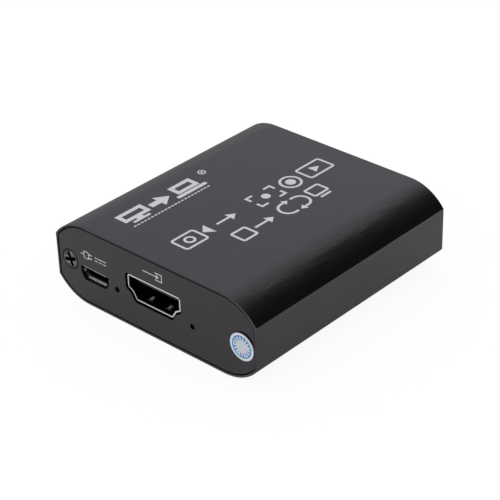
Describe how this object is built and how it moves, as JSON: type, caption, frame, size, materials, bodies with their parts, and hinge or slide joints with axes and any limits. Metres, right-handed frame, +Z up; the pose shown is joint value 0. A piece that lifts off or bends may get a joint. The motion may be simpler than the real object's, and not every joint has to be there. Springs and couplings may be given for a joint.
{
  "type": "video capture box",
  "caption": "Small black extruded metal box with screwed end plates, that takes a video signal in, passes it on and sends it as captured data, with a power socket.",
  "frame": {"origin": "middle of the footprint, on the surface that the box stands on", "axes": "+Z up; +Y along the extrusion, from the input end to the output end; +X to the right when looking along +Y"},
  "size_m": [0.057, 0.06, 0.019],
  "materials": {
    "case_black": "black anodised over a fine blasted grain, satin",
    "plate_black": "black anodised flat sheet, fine satin grain",
    "screw_black": "black coated steel, bright where the driver has rubbed",
    "seal_film": "printed film, blue ring with even rays",
    "board_laminate": "glass fibre laminate under green solder mask",
    "socket_nickel": "stamped steel, nickel plated",
    "spring_steel": "spring temper steel, nickel plated",
    "socket_plastic": "moulded black thermoplastic",
    "contact_gold": "gold flashed copper alloy",
    "chip_resin": "moulded black resin",
    "crystal_can": "drawn metal can on a ceramic base",
    "inductor_ferrite": "pressed ferrite, dark grey",
    "fuse_body": "dark laminate body with tinned ends",
    "capacitor_ceramic": "fired ceramic with tinned ends",
    "resistor_ceramic": "glazed film on ceramic with tinned ends",
    "surge_ceramic": "fired ceramic array with tinned ends",
    "lamp_resin": "clear and milky moulded resin"
  },
  "bodies": {
    "box": {"housing_sleeve": "case_black", "front_plate": "plate_black", "rear_plate": "plate_black", "front_screws": "screw_black", "rear_screws": "screw_black", "seal_sticker": "seal_film", "circuit_board": "board_laminate", "input_shell": "socket_nickel", "loop_shell": "socket_nickel", "power_shell": "socket_nickel", "data_shell": "socket_nickel", "input_insulator": "socket_plastic", "loop_insulator": "socket_plastic", "power_insulator": "socket_plastic", "data_insulator": "socket_plastic", "input_contacts": "contact_gold", "loop_contacts": "contact_gold", "power_contacts": "contact_gold", "data_contacts": "contact_gold", "capture_chip": "chip_resin", "splitter_chip": "chip_resin", "memory_chip": "chip_resin", "voltage_regulators": "chip_resin", "clock_crystals": "crystal_can", "power_inductor": "inductor_ferrite", "power_fuse": "fuse_body", "bulk_capacitors": "capacitor_ceramic", "small_capacitors": "capacitor_ceramic", "resistors": "resistor_ceramic", "surge_protectors": "surge_ceramic", "power_light": "lamp_resin", "signal_light": "lamp_resin"},
    "input_lower_fingers": {"input_lower_springs": "spring_steel"},
    "input_upper_fingers": {"input_upper_springs": "spring_steel"},
    "loop_lower_fingers": {"loop_lower_springs": "spring_steel"},
    "loop_upper_fingers": {"loop_upper_springs": "spring_steel"},
    "data_lower_fingers": {"data_lower_springs": "spring_steel"},
    "data_upper_fingers": {"data_upper_springs": "spring_steel"}
  },
  "joints": [
    {"name": "input_lower_flex", "type": "hinge", "parent": "box", "child": "input_lower_fingers", "pos_m": [0.0001, -0.0234, 0.0072], "axis": [1, 0, 0], "range_deg": [0, 4.2], "stiffness_Nm_per_rad": 0.3},
    {"name": "input_upper_flex", "type": "hinge", "parent": "box", "child": "input_upper_fingers", "pos_m": [0.0001, -0.0234, 0.0124], "axis": [-1, 0, 0], "range_deg": [0, 4.2], "stiffness_Nm_per_rad": 0.3},
    {"name": "loop_lower_flex", "type": "hinge", "parent": "box", "child": "loop_lower_fingers", "pos_m": [0.00932, 0.0234, 0.0072], "axis": [-1, 0, 0], "range_deg": [0, 4.2], "stiffness_Nm_per_rad": 0.3},
    {"name": "loop_upper_flex", "type": "hinge", "parent": "box", "child": "loop_upper_fingers", "pos_m": [0.00932, 0.0234, 0.0124], "axis": [1, 0, 0], "range_deg": [0, 4.2], "stiffness_Nm_per_rad": 0.3},
    {"name": "data_lower_flex", "type": "hinge", "parent": "box", "child": "data_lower_fingers", "pos_m": [-0.01022, 0.0234, 0.00717], "axis": [-1, 0, 0], "range_deg": [0, 4.2], "stiffness_Nm_per_rad": 0.3},
    {"name": "data_upper_flex", "type": "hinge", "parent": "box", "child": "data_upper_fingers", "pos_m": [-0.01022, 0.0234, 0.01257], "axis": [1, 0, 0], "range_deg": [0, 4.2], "stiffness_Nm_per_rad": 0.3}
  ]
}
